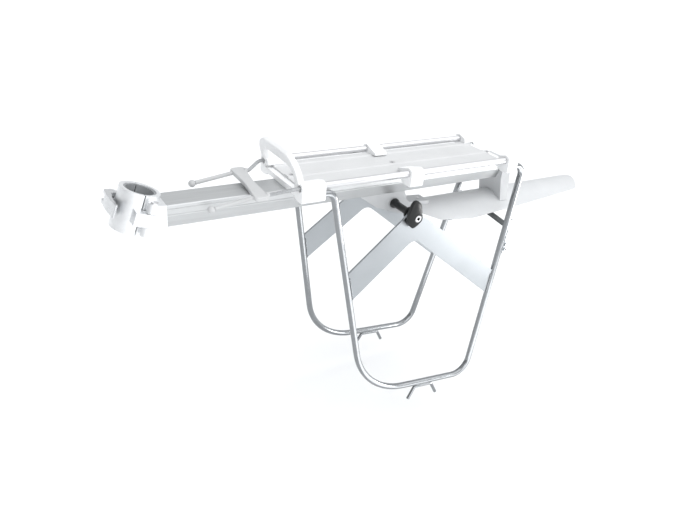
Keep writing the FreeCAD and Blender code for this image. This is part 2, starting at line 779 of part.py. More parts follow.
def make_bungee():
    handle = extrusion(
        "handle_bar",
        "XY_Plane",
        [
            ("handle_front", "-handle_half", "4"),
            ("handle_back", "-handle_half", "4"),
            ("handle_back - 3", "0", "80"),
            ("handle_back", "handle_half", "4"),
            ("handle_front", "handle_half", "4"),
            ("handle_front + 3", "0", "80"),
        ],
        "-handle_thick / 2",
        "handle_thick / 2",
    )
    roll = FreeCAD.Rotation(FreeCAD.Vector(1, 0, 0), size("handle_roll"))
    handle.Placement = FreeCAD.Placement(vector(("0", "0", "handle_low + handle_thick / 2")), roll)
    soft = rounded("handle_soft", handle, "1.2", lambda edge: edge.Length > 5.5)
    tools = []
    fingers = []
    cords = []
    for side in ("-", ""):
        tag = "left" if side else "right"
        root = held("handle_front + 6", f"{side}finger_y")
        tip = held("finger_tip", f"{side}finger_y") - vector(("0", "0", "finger_fall"))
        shaft = rod_between(f"{tag}_finger", "finger_radius", tip, root)
        ball = doc.addObject("Part::Sphere", f"{tag}_ball")
        bind(ball, "Radius", "ball_radius")
        ball.Placement.Base = tip
        fingers.append(fuse(f"{tag}_hook", shaft, ball))
        tools.append(rod_between(f"{tag}_finger_bore", "finger_radius", tip, root))
        start = held("handle_back - 6", f"{side}finger_y")
        cords.append(elastic_cord(f"{tag}_bungee", side, start))
        exit_point = start + FreeCAD.Vector(10, 0, 0)
        tools.append(rod_between(f"{tag}_cord_bore", "cord_radius", start, exit_point))
    node(cut("bungee_handle", soft, *tools))
    node(group("bungee_hooks", fingers))
    node(group("bungee_cords", cords))


def elastic_cord(name, side, start):
    """A cord from the handle's back edge into the front mouth of a deck rail."""
    end = vector(("rail_start + 4", f"{side}rail_y", "rail_z"))
    mouth = vector(("front_bracket - 5", f"{side}rail_y", "rail_z"))
    points = [start, start + FreeCAD.Vector(9, 0, 0), mouth, end]
    feature = doc.addObject("Part::Feature", name)
    feature.Shape = round_tube(points, size("cord_radius"))
    return feature


def round_tube(points, radius):
    """A tube along straight runs joined by the largest tangent arcs that the runs allow."""
    edges = []
    here = points[0]
    for before, corner, after in zip(points, points[1:], points[2:]):
        shorter = min((corner - before).Length, (after - corner).Length)
        half = (before - corner).getAngle(after - corner) / 2
        reach = 0.45 * shorter
        bend = reach * math.tan(half)
        back = (before - corner).normalize()
        ahead = (after - corner).normalize()
        inward = (back + ahead).normalize()
        middle = corner + inward * (bend / math.sin(half) - bend)
        entry = corner + back * reach
        leave = corner + ahead * reach
        edges.append(Part.LineSegment(here, entry).toShape())
        edges.append(Part.Arc(entry, middle, leave).toShape())
        here = leave
    edges.append(Part.LineSegment(here, points[-1]).toShape())
    path = Part.Wire(edges)
    ring = Part.Wire(Part.Circle(points[0], points[1] - points[0], radius).toShape())
    return path.makePipeShell([ring], True, False)


# ---- mudguard and its supports ------------------------------------------------------------------


def make_mudguard():
    length = "guard_end - guard_start"
    at = ("guard_start", "0", "guard_axis_z")
    ahead = ("guard_start - 20", "0", "guard_axis_z")
    shell = cut(
        "guard_tube",
        rod("guard_outer", "guard_radius", length, at, "+X"),
        rod("guard_inner", "guard_radius - guard_wall", "guard_end", ahead, "+X"),
    )
    side = extrusion(
        "guard_side",
        "XZ_Plane",
        [
            ("guard_start", "-35"),
            ("guard_start", "-46", "8"),
            ("guard_start + 38", "-61", "30"),
            ("guard_start + 90", "-66", "60"),
            ("guard_end - 12", "-52", "8"),
            ("guard_end + 2", "-35"),
        ],
        "-40",
        "40",
    )
    plan = extrusion(
        "guard_plan",
        "XY_Plane",
        [
            ("guard_start", "-30"),
            ("guard_end - 3", "-30", "6"),
            ("guard_end", "0", "60"),
            ("guard_end - 3", "30", "6"),
            ("guard_start", "30"),
        ],
        "-90",
        "-30",
    )
    blade = shared("guard_blade", shell, side, plan)
    holes = [rod(f"guard_hole_{k}", "2.2", "30", (x, "0", "-60")) for k, x in enumerate(GUARD_SCREWS)]
    node(cut("mudguard", blade, *holes))
    crown = "guard_axis_z + guard_radius - guard_wall"
    screws = [
        cap_screw(f"guard_screw_{k}", "2.2", "7.2", "3.6", "2", (x, "0", crown + " - 0.3"), "-Z")
        for k, x in enumerate(GUARD_SCREWS)
    ]
    node(group("mudguard_screws", screws))


GUARD_SCREWS = ("guard_start + 15", "beam_end + leg_thick / 2 + 0.7 * leg_lean")


def make_rear_leg():
    """The end bracket that closes the beam and leans back to stand on the mudguard."""
    side_view = extrusion(
        "leg_side",
        "XZ_Plane",
        [
            ("beam_end", "beam_top"),
            ("beam_end + leg_thick", "beam_top", "2"),
            ("beam_end + leg_thick + leg_lean", "leg_foot"),
            ("beam_end + leg_lean", "leg_foot"),
            ("beam_end", "beam_bottom", "3"),
        ],
        "-leg_half",
        "leg_half",
    )
    rear_view = extrusion(
        "leg_rear",
        "YZ_Plane",
        [
            ("-leg_half", "beam_top", "3"),
            ("-leg_half", "leg_foot - 5"),
            ("leg_half", "leg_foot - 5"),
            ("leg_half", "beam_top", "3"),
        ],
        "beam_end - 5",
        "beam_end + leg_thick + leg_lean + 5",
    )
    seat = rod("leg_seat", "guard_radius + 0.02", "60", ("beam_end - 10", "0", "guard_axis_z"), "+X")
    plug_low = ("beam_end - 12", "-beam_foot + 3", "beam_bottom + 3")
    plug = block("leg_plug", plug_low, ("beam_end + 1", "beam_foot - 3", "beam_top - 3"))
    tap = rod("leg_tap", "2.2", "4.7", (GUARD_SCREWS[1], "0", "guard_axis_z + guard_radius"))
    whole = fuse("leg_whole", shared("leg_plate", side_view, rear_view), plug)
    node(cut("rear_leg", whole, seat, tap))


def make_hanger():
    """The fin under the beam that carries the mudguard's front end and takes the clamping screws."""
    fin = extrusion(
        "hanger_fin",
        "XZ_Plane",
        [
            ("hanger_start", "beam_bottom"),
            ("hanger_start + 25", "-37", "6"),
            ("hanger_start + 61", "-50", "4"),
            ("guard_start - 3", "-50", "2"),
            ("guard_start - 3", "-44"),
            ("guard_start + 26", "-44"),
            ("guard_start + 26", "-38.5", "1.5"),
            ("guard_start - 8", "-36", "8"),
            ("hanger_start + 64", "beam_bottom"),
        ],
        "-hanger_half",
        "hanger_half",
    )
    saddle = rod("hanger_saddle", "guard_radius + 0.02", "60", ("guard_start - 3", "0", "guard_axis_z"), "+X")
    tap = rod("hanger_tap", "2.2", "4.7", (GUARD_SCREWS[0], "0", "guard_axis_z + guard_radius"))
    low = "beam_bottom - 7"
    taps = [rod(f"hanger_beam_tap_{k}", "2", "7", (x, "0", low)) for k, x in enumerate(HANGER_SCREWS)]
    node(cut("hanger_block", fin, saddle, tap, *taps))
    seat = "beam_bottom + beam_wall"
    screws = [
        cap_screw(f"hanger_screw_{k}", "2", "beam_wall + 7", "3.5", "2.6", (x, "0", seat), "+Z")
        for k, x in enumerate(HANGER_SCREWS)
    ]
    node(group("hanger_screws", screws))


# ---- side frames --------------------------------------------------------------------------------


def splayed(item, side):
    """Stands a piece drawn in the hoop's own plane out to its side and splays it."""
    for letter in "xyz":
        item.setExpression(f"Placement.Base.{letter}", None)
    angle = size("splay") * side
    base = FreeCAD.Vector(0, side * size("hoop_y"), size("hoop_z"))
    stand = FreeCAD.Placement(base, FreeCAD.Rotation(FreeCAD.Vector(1, 0, 0), angle))
    item.Placement = stand.multiply(item.Placement)
    return item


def hoop(name, side, radius="hoop_radius"):
    tube = bent_rod(
        name,
        [
            ("hoop_front_end", "0"),
            ("front_leg_x", "0", "top_bend"),
            ("front_leg_low_x", "-hoop_front_drop", "low_front_bend"),
            ("rear_leg_low_x", "-hoop_rear_drop", "low_rear_bend"),
            ("rear_leg_x", "0", "top_bend"),
            ("hoop_rear_end", "0"),
        ],
        radius,
    )
    return splayed(tube, side)


def front_leg_at(drop):
    return f"front_leg_x + (front_leg_low_x - front_leg_x) * {drop} / hoop_front_drop"


def rear_leg_at(drop):
    return f"rear_leg_x + (rear_leg_low_x - rear_leg_x) * {drop} / hoop_rear_drop"


def brace(name, side):
    """The flat inverted-V sheet between a hoop's legs; its ends butt on the tube."""
    sheet_metal = extrusion(
        name + "_sheet",
        "XZ_Plane",
        [
            (front_leg_at("brace_front_top"), "-brace_front_top"),
            ("brace_peak_x", "brace_peak_z", "9"),
            (rear_leg_at("brace_rear_top"), "-brace_rear_top"),
            (rear_leg_at("brace_rear_low"), "-brace_rear_low"),
            ("brace_inner_x", "brace_inner_z", "13"),
            (front_leg_at("brace_front_low"), "-brace_front_low"),
        ],
        "-brace_thick / 2",
        "brace_thick / 2",
    )
    splayed(sheet_metal, side)
    tube = hoop(name + "_tube_space", side)
    outside = ("screw_x", f"{side} * (bush_outer + 15)", "screw_z")
    bush = rod(name + "_bush_space", "bush_radius", "40", outside, "+Y" if side < 0 else "-Y")
    return node(cut(name, sheet_metal, tube, bush))


def low_run_at(x):
    """How far the middle of the hoop's lowest run hangs below its top rods."""
    share = f"({x} - front_leg_low_x) / (rear_leg_low_x - front_leg_low_x)"
    return f"(hoop_front_drop + (hoop_rear_drop - hoop_front_drop) * {share})"


def lower_hook(name, side):
    """A bent wire under the hoop's lowest run, with both ends turned down."""
    front_z = f"-{low_run_at('hook_front')} - hoop_radius - hook_radius - 0.1"
    back_z = f"-{low_run_at('hook_back')} - hoop_radius - hook_radius - 0.1"
    bent = bent_rod(
        name,
        [
            ("hook_front - hook_reach", f"{front_z} - hook_fall"),
            ("hook_front", front_z, "4"),
            ("hook_back", back_z, "4"),
            ("hook_back + hook_reach", f"{back_z} - hook_fall"),
        ],
        "hook_radius",
    )
    return node(splayed(bent, side))


def reflector_tab(name, side):
    """A narrow plate along the back of a rear leg, with two screws near its foot."""
    inner = " + hoop_radius + tab_gap"
    outer = inner + " + tab_width"
    plate = extrusion(
        name + "_plate",
        "XZ_Plane",
        [
            (rear_leg_at("tab_upper") + " + 1", "-tab_upper"),
            (rear_leg_at("tab_upper") + outer, "-tab_upper", "3"),
            (rear_leg_at("tab_lower") + outer, "-tab_lower", "2"),
            (rear_leg_at("tab_lower") + inner, "-tab_lower", "1.5"),
            (rear_leg_at("tab_weld") + inner, "-tab_weld", "1"),
            (rear_leg_at("tab_weld") + " + 1", "-tab_weld"),
        ],
        "-tab_thick / 2",
        "tab_thick / 2",
    )
    splayed(plate, side)
    tube = hoop(name + "_tube_space", side)
    holes = []
    screws = []
    for k in range(2):
        drop = f"(tab_screw_drop + tab_screw_step * {k})"
        x = rear_leg_at(drop) + inner + " + tab_width - 3"
        holes.append(splayed(rod(f"{name}_hole_{k}", "1.6", "20", (x, "-10", f"-{drop}"), "+Y"), side))
        screws.append(splayed_screw(f"{name}_screw_{k}", (x, f"{side} * tab_thick / 2", f"-{drop}"), side))
    node(cut(name, plate, tube, *holes))
    return screws


def splayed_screw(name, at, side):
    screw = cap_screw(name, "1.6", "tab_thick + 1.2", "2.6", "1.6", at, "+Y" if side > 0 else "-Y")
    return splayed(screw, side)


def make_cross_strap():
    """A flat band that ties the rear legs together under the mudguard."""
    outline = [
        ("-strap_half", "strap_end_z"),
        ("-10", "strap_crown_z", "30"),
        ("10", "strap_crown_z", "30"),
        ("strap_half", "strap_end_z"),
        ("strap_half", "strap_end_z - strap_thick"),
        ("10", "strap_crown_z - strap_thick", "30"),
        ("-10", "strap_crown_z - strap_thick", "30"),
        ("-strap_half", "strap_end_z - strap_thick"),
    ]
    band = extrusion("strap_band", "YZ_Plane", outline, "strap_front", "strap_back")
    spaces = [hoop(f"strap_tube_space_{k}", side) for k, side in enumerate((-1, 1))]
    node(cut("cross_strap", band, *spaces))


def make_clamp_screw(tag, side):
    """The hand screw of one side frame: bush, sleeve with a foot, knob and bolt."""
    out = "-Y" if side < 0 else "+Y"
    bush = rod(
        f"{tag}_bush_blank", "bush_radius", "bush_outer - bush_inner",
        ("screw_x", f"{side} * bush_inner", "screw_z"), out,
    )
    thread = rod(f"{tag}_bush_thread", "bolt_radius + bolt_play", "120", ("screw_x", "0", "screw_z"), out)
    node(cut(f"{tag}_threaded_bush", bush, thread))
    sleeve = turned(
        f"{tag}_sleeve_blank",
        [
            ("0", "hanger_half + foot_gap"),
            ("foot_radius - 0.8", "hanger_half + foot_gap", "0.8"),
            ("foot_radius", "hanger_half + foot_gap + 1.6", "0.8"),
            ("foot_radius - 0.3", "hanger_half + foot_gap + 3.6", "1.2"),
            ("sleeve_radius", "hanger_half + foot_gap + 7.5", "4"),
            ("sleeve_radius", "sleeve_start - 3.2"),
            ("collar_radius", "sleeve_start - 2.8", "0.6"),
            ("collar_radius", "sleeve_start", "0.6"),
            ("0", "sleeve_start"),
        ],
        ("screw_x", "0", "screw_z"),
        out,
    )
    bore_at = ("screw_x", f"{side} * (hanger_half + 4)", "screw_z")
    bore = rod(f"{tag}_sleeve_bore", "bolt_radius + bolt_play", "60", bore_at, out)
    node(cut(f"{tag}_clamp_foot", sleeve, bore))
    bolt = cap_screw(
        f"{tag}_knob_bolt", "bolt_radius", "knob_outer - hanger_half - 9.5", "4.2", "4.8",
        ("screw_x", f"{side} * (knob_outer - 5)", "screw_z"), out,
    )
    node(bolt)
    knob = extrusion(
        f"{tag}_knob_blank",
        "XZ_Plane",
        [
            ("screw_x - 3", "screw_z + 23", "4"),
            ("screw_x + 4", "screw_z + 17", "5"),
            ("screw_x + 7", "screw_z + 2", "6"),
            ("screw_x + 4", "screw_z - 7", "5"),
            ("screw_x - 4", "screw_z - 13.5", "4"),
            ("screw_x - 12", "screw_z - 6", "5"),
            ("screw_x - 13", "screw_z + 3", "5"),
            ("screw_x - 8.5", "screw_z + 19", "5"),
        ],
        "knob_inner" if side > 0 else "-knob_outer",
        "knob_outer" if side > 0 else "-knob_inner",
    )
    outer = side * size("knob_outer")
    soft = rounded(
        f"{tag}_knob_soft", knob, "1.6",
        lambda edge: abs(edge.CenterOfMass.y - outer) < 0.1,
    )
    head = rod(f"{tag}_knob_seat", "4.3", "20", ("screw_x", f"{side} * (knob_outer - 5)", "screw_z"), out)
    shank = rod(f"{tag}_knob_bore", "bolt_radius", "80", ("screw_x", "0", "screw_z"), out)
    node(cut(f"{tag}_clamp_knob", soft, head, shank))


def make_side_frames():
    tab_screws = []
    for tag, side in (("left", -1), ("right", 1)):
        node(hoop(f"{tag}_hoop", side))
        brace(f"{tag}_brace_plate", side)
        lower_hook(f"{tag}_lower_hook", side)
        tab_screws += reflector_tab(f"{tag}_reflector_tab", side)
        make_clamp_screw(tag, side)
    node(group("tab_screws", tab_screws))
    make_cross_strap()


# ---- build, check and write ---------------------------------------------------------------------

make_rear_jaw()
make_front_jaw()
make_pads()
make_jaw_pin()
make_skewer()
make_lever()
make_beam()
make_deck()
make_rails()
make_brackets()
make_luggage_stop()
make_bungee()
make_mudguard()
make_rear_leg()
make_hanger()
make_side_frames()

doc.recompute()
failed = [item.Name for item in doc.Objects if {"Invalid", "Error"} & set(item.State)]
bad = [item.Label for item in NODES if item.Shape.isNull() or not item.Shape.isValid()]
if failed or bad:
    raise RuntimeError(f"failed: {failed} bad shapes: {bad}")

os.makedirs("parts", exist_ok=True)
for item in NODES:
    item.Shape.exportStep(os.path.join("parts", item.Label + ".step"))
    solids = len(item.Shape.Solids)
    print(f"{item.Label}: {solids} solid(s), {item.Shape.Volume:.1f} mm3")
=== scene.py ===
import json
import math

import bmesh
import bpy
from mathutils import Matrix, Vector


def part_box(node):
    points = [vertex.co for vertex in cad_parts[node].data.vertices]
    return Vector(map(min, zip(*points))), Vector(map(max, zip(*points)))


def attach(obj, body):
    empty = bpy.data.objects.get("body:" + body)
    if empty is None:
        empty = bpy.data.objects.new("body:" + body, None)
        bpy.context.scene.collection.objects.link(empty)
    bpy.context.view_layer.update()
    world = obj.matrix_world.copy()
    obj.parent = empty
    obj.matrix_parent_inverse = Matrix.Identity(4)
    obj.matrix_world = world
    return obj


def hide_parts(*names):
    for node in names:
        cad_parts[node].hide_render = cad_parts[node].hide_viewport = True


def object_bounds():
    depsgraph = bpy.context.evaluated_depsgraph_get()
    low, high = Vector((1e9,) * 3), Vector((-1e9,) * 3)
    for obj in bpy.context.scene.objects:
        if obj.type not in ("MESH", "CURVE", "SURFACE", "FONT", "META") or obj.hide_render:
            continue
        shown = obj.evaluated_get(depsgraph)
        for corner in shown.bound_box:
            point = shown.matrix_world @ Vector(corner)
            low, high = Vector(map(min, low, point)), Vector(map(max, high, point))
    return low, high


# The looks of a seatpost-clamped rear rack, in metres, in the part's frame:
# +X to the bicycle's rear, +Y to its right, +Z up, origin in the seatpost clamp.

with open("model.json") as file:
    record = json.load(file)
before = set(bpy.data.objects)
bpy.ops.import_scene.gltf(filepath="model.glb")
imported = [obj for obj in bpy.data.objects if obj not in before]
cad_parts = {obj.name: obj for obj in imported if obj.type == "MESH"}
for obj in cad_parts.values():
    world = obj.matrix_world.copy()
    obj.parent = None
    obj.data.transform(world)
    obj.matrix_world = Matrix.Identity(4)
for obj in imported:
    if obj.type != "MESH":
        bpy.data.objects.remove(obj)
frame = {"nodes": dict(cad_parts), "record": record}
CAD_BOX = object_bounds()
NODES = frame["nodes"]
SIDES = {"left": -1, "right": 1}

# ---- camera, floor and lights -------------------------------------------------------------------

EYE = Vector((-0.1401, -0.5947, 0.2706))
LOOK = Vector((0.484, 0.745, -0.46)).normalized()
LEAN = Vector((0.17, 0.435, 0.884))
LENS = 34.15
SENSOR_WIDTH = 36
FLOOR_DROP = 0.03
FLOOR_RADIUS = 14
PANEL_LIFT = 0.004
UPRIGHT = Vector((0, 0.01, 1))


def look_matrix(place, direction, lean):
    """A matrix that stands at place and looks along direction, with its top towards lean."""
    top = (lean - direction * lean.dot(direction)).normalized()
    right = direction.cross(top)
    turn = Matrix((right, top, -direction)).transposed().to_4x4()
    return Matrix.Translation(place) @ turn


def make_camera():
    lens = bpy.data.cameras.new("camera")
    lens.lens = LENS
    lens.sensor_width = SENSOR_WIDTH
    lens.clip_start = 0.01
    camera = bpy.data.objects.new("camera", lens)
    camera.matrix_world = look_matrix(EYE, LOOK, LEAN)
    bpy.context.scene.collection.objects.link(camera)
    bpy.context.scene.camera = camera


def make_light(name, place, target, size, power, gloss_only=False):
    """A rectangular box light; gloss_only makes it a reflection in metal that lights nothing matt."""
    lamp = bpy.data.lights.new(name, "AREA")
    lamp.shape = "RECTANGLE"
    lamp.size, lamp.size_y = size
    lamp.energy = power
    holder = bpy.data.objects.new(name, lamp)
    direction = (Vector(target) - Vector(place)).normalized()
    holder.matrix_world = look_matrix(Vector(place), direction, UPRIGHT)
    holder.visible_camera = False
    holder.visible_diffuse = not gloss_only
    bpy.context.scene.collection.objects.link(holder)


def make_sun(name, toward, strength, spread):
    """A distant light that shines along toward; spread is the angle it fills, in degrees."""
    lamp = bpy.data.lights.new(name, "SUN")
    lamp.energy = strength
    lamp.angle = math.radians(spread)
    holder = bpy.data.objects.new(name, lamp)
    holder.matrix_world = look_matrix(Vector((0, 0, 2)), Vector(toward).normalized(), Vector((0, 1, 0.01)))
    bpy.context.scene.collection.objects.link(holder)


def make_floor_panel(name, corner, far_corner, power, receivers):
    """A lit panel lying on the floor that only the named nodes see: it draws a streak down the tubes."""
    level = CAD_BOX[0].z - FLOOR_DROP + PANEL_LIFT
    lamp = bpy.data.lights.new(name, "AREA")
    lamp.shape = "RECTANGLE"
    lamp.size = far_corner[0] - corner[0]
    lamp.size_y = corner[1] - far_corner[1]
    lamp.energy = power
    holder = bpy.data.objects.new(name, lamp)
    middle = Vector(((corner[0] + far_corner[0]) / 2, (corner[1] + far_corner[1]) / 2, level))
    holder.matrix_world = Matrix.Translation(middle) @ Matrix.Rotation(math.pi, 4, "X")
    holder.visible_camera = False
    bpy.context.scene.collection.objects.link(holder)
    lit = bpy.data.collections.new(name + "_lit")
    for node in receivers:
        lit.objects.link(NODES[node])
    holder.light_linking.receiver_collection = lit


def make_lights():
    """A high soft key from behind and the left, a low box at the rear, a weak fill, and a floor panel."""
    make_sun("key", toward=(-0.35, 0.45, -1), strength=1.15, spread=70)
    rear_box = {"place": (1.05, -0.47, -0.19), "target": (0.42, -0.05, -0.12), "size": (0.42, 0.26)}
    make_light("right_box", **rear_box, power=4.2, gloss_only=True)
    make_light("fill", place=(-0.1, -1.7, 0.3), target=(0.3, 0, -0.05), size=(1.2, 0.8), power=6)
    tubes = [f"{tag}_{part}" for tag in SIDES for part in ("hoop", "lower_hook")]
    make_floor_panel("tube_panel", (0.27, -0.14), (0.78, -0.95), power=3.2, receivers=tubes)


def make_world():
    """A pale studio that is brighter overhead and to the rear, and dimmer to the front and below."""
    world = bpy.data.worlds.new("studio")
    bpy.context.scene.world = world
    world.use_nodes = True
    tree = world.node_tree
    shader = tree.nodes["Background"]
    shader.inputs["Color"].default_value = (0.97, 0.985, 1, 1)
    place = tree.nodes.new("ShaderNodeTexCoord")
    toward = tree.nodes.new("ShaderNodeVectorMath")
    toward.operation = "DOT_PRODUCT"
    brightest = Vector((0.75, -0.35, 0.55)).normalized()
    toward.inputs[1].default_value = brightest
    spread = tree.nodes.new("ShaderNodeMapRange")
    spread.inputs["From Min"].default_value = -0.8
    spread.inputs["From Max"].default_value = 0.9
    spread.inputs["To Min"].default_value = 0.5
    spread.inputs["To Max"].default_value = 1.15
    tree.links.new(place.outputs["Generated"], toward.inputs[0])
    tree.links.new(toward.outputs["Value"], spread.inputs["Value"])
    tree.links.new(spread.outputs["Result"], shader.inputs["Strength"])


def make_floor():
    """A wide flat floor, plain and pale all over."""
    level = CAD_BOX[0].z - FLOOR_DROP
    sheet = bpy.data.meshes.new("floor")
    shape = bmesh.new()
    bmesh.ops.create_circle(shape, cap_ends=True, segments=96, radius=FLOOR_RADIUS)
    shape.to_mesh(sheet)
    shape.free()
    floor = bpy.data.objects.new("floor", sheet)
    floor.location = (0.3, 0, level)
    bpy.context.scene.collection.objects.link(floor)
    mix = Finish("floor_paint", (0.93, 0.935, 0.94), 0, 0.9)
    mix.roughness_noise(3, 0.85, 0.95)
    sheet.materials.append(mix.material)


# ---- finishes -----------------------------------------------------------------------------------


class Finish:
    """A node material: a base colour that drifts a little, uneven gloss, and fine relief."""

    def __init__(self, name, colour, metallic, roughness, specular=0.5):
        self.material = bpy.data.materials.new(name)
        self.material.use_nodes = True
        self.tree = self.material.node_tree
        self.shader = self.tree.nodes["Principled BSDF"]
        self.shader.inputs["Base Color"].default_value = (*colour, 1)
        self.shader.inputs["Metallic"].default_value = metallic
        self.shader.inputs["Roughness"].default_value = roughness
        self.shader.inputs["Specular IOR Level"].default_value = specular
        self.colour = colour
        self.place = self.add("ShaderNodeTexCoord").outputs["Object"]
        self.relief = None

    def add(self, kind, **values):
        item = self.tree.nodes.new(kind)
        for key, value in values.items():
            setattr(item, key, value)
        return item

    def link(self, source, target):
        self.tree.links.new(source, target)

    def noise(self, scale, detail=3, stretch=(1, 1, 1)):
        mapping = self.add("ShaderNodeMapping")
        mapping.inputs["Scale"].default_value = stretch
        self.link(self.place, mapping.inputs["Vector"])
        texture = self.add("ShaderNodeTexNoise")
        texture.inputs["Scale"].default_value = scale
        texture.inputs["Detail"].default_value = detail
        self.link(mapping.outputs["Vector"], texture.inputs["Vector"])
        return texture.outputs["Fac"]

    def span(self, factor, low, high):
        between = self.add("ShaderNodeMapRange")
        between.inputs["From Min"].default_value = 0.3
        between.inputs["From Max"].default_value = 0.7
        between.inputs["To Min"].default_value = low
        between.inputs["To Max"].default_value = high
        self.link(factor, between.inputs["Value"])
        return between.outputs["Result"]

    def roughness_noise(self, scale, low, high, stretch=(1, 1, 1)):
        self.link(self.span(self.noise(scale, 4, stretch), low, high), self.shader.inputs["Roughness"])
        return self

    def colour_noise(self, scale, dark, light, stretch=(1, 1, 1)):
        """Lets the base colour drift between dark and light times itself."""
        mixer = self.add("ShaderNodeMix", data_type="RGBA")
        mixer.inputs["A"].default_value = (*[c * dark for c in self.colour], 1)
        mixer.inputs["B"].default_value = (*[min(1, c * light) for c in self.colour], 1)
        self.link(self.span(self.noise(scale, 3, stretch), 0, 1), mixer.inputs["Factor"])
        self.link(mixer.outputs["Result"], self.shader.inputs["Base Color"])
        return self

    def rounded_edges(self, radius=0.0005):
        bevel = self.add("ShaderNodeBevel", samples=4)
        bevel.inputs["Radius"].default_value = radius
        self.relief = bevel.outputs["Normal"]
        self.link(self.relief, self.shader.inputs["Normal"])
        return self

    def bump(self, height, strength, depth):
        """Adds fine relief on top of whatever relief is there already."""
        bump = self.add("ShaderNodeBump")
        bump.inputs["Strength"].default_value = strength
        bump.inputs["Distance"].default_value = depth
        self.link(height, bump.inputs["Height"])
        if self.relief is not None:
            self.link(self.relief, bump.inputs["Normal"])
        self.relief = bump.outputs["Normal"]
        self.link(self.relief, self.shader.inputs["Normal"])
        return self


def anodised(name, colour, roughness, edge=0.0004):
    """Satin anodised aluminium: soft metal gloss with the faint streaks of drawing or rolling."""
    mix = Finish(name, colour, 1, roughness).rounded_edges(edge)
    streaks = (0.06, 1, 1)
    mix.colour_noise(160, 0.94, 1.03, streaks)
    mix.roughness_noise(420, roughness - 0.05, roughness + 0.06, streaks)
    return mix.bump(mix.noise(1500, 2, streaks), 0.12, 0.0001)


def brushed_plate(name, colour, roughness):
    """Sheet aluminium with short brushing along its length and a bead-blasted bloom."""
    mix = Finish(name, colour, 1, roughness).rounded_edges(0.0005)
    mix.colour_noise(22, 0.95, 1.02)
    mix.roughness_noise(700, roughness - 0.04, roughness + 0.05, (0.05, 1, 0.6))
    return mix.bump(mix.noise(2600, 2, (0.08, 1, 0.5)), 0.10, 0.0001)


def moulded(name, colour, roughness, grain=0.25, edge=0.0006):
    """Injection-moulded plastic with a fine spark-eroded grain and slightly uneven gloss."""
    mix = Finish(name, colour, 0, roughness, 0.4).rounded_edges(edge)
    mix.colour_noise(35, 0.965, 1.02)
    mix.roughness_noise(90, roughness - 0.06, roughness + 0.07)
    return mix.bump(mix.noise(3200, 2), grain, 0.00012)


def socket_screw(name, colour, roughness):
    """Polished steel with painted shade: its base colour goes near-black in the depth of its hexagon socket.
    """
    mix = steel(name, colour, roughness)
    # painted shade: ambient occlusion mixes the base colour toward near-black inside the hexagon socket
    shade = mix.add("ShaderNodeAmbientOcclusion", samples=8, only_local=True)
    shade.inputs["Distance"].default_value = 0.004
    mixer = mix.add("ShaderNodeMix", data_type="RGBA")
    mixer.inputs["A"].default_value = (0.01, 0.01, 0.011, 1)
    mix.link(mix.shader.inputs["Base Color"].links[0].from_socket, mixer.inputs["B"])
    mix.link(mix.span(shade.outputs["AO"], 0, 1), mixer.inputs["Factor"])
    mix.link(mixer.outputs["Result"], mix.shader.inputs["Base Color"])
    return mix


def steel(name, colour, roughness):
    """Zinc-plated or polished steel with faint turning marks and handling haze."""
    mix = Finish(name, colour, 1, roughness).rounded_edges(0.00025)
    mix.roughness_noise(500, roughness * 0.8, roughness * 1.5)
    mix.colour_noise(260, 0.93, 1.03)
    return mix.bump(mix.noise(2400, 2), 0.08, 0.00008)


def rubber(name, colour):
    """Soft rubber: no gloss to speak of, with a dusty bloom."""
    mix = Finish(name, colour, 0, 0.78, 0.3).rounded_edges(0.0005)
    mix.colour_noise(60, 0.9, 1.08)
    mix.roughness_noise(140, 0.7, 0.88)
    return mix.bump(mix.noise(1800, 3), 0.3, 0.00015)


def braided(name, colour):
    """The woven sleeve of an elastic cord: two sets of threads that cross at a slant."""
    mix = Finish(name, colour, 0, 0.75, 0.3)
    threads = []
    for slant in (-1, 1):
        mapping = mix.add("ShaderNodeMapping")
        mapping.inputs["Rotation"].default_value = (0, 0, slant * math.radians(38))
        mix.link(mix.place, mapping.inputs["Vector"])
        wave = mix.add("ShaderNodeTexWave")
        wave.inputs["Scale"].default_value = 260
        wave.inputs["Distortion"].default_value = 0.6
        mix.link(mapping.outputs["Vector"], wave.inputs["Vector"])
        threads.append(wave.outputs["Fac"])
    crossing = mix.add("ShaderNodeMath", operation="MAXIMUM")
    mix.link(threads[0], crossing.inputs[0])
    mix.link(threads[1], crossing.inputs[1])
    mix.colour_noise(900, 0.8, 1.1)
    mix.roughness_noise(700, 0.65, 0.85)
    return mix.bump(crossing.outputs["Value"], 0.5, 0.0003)


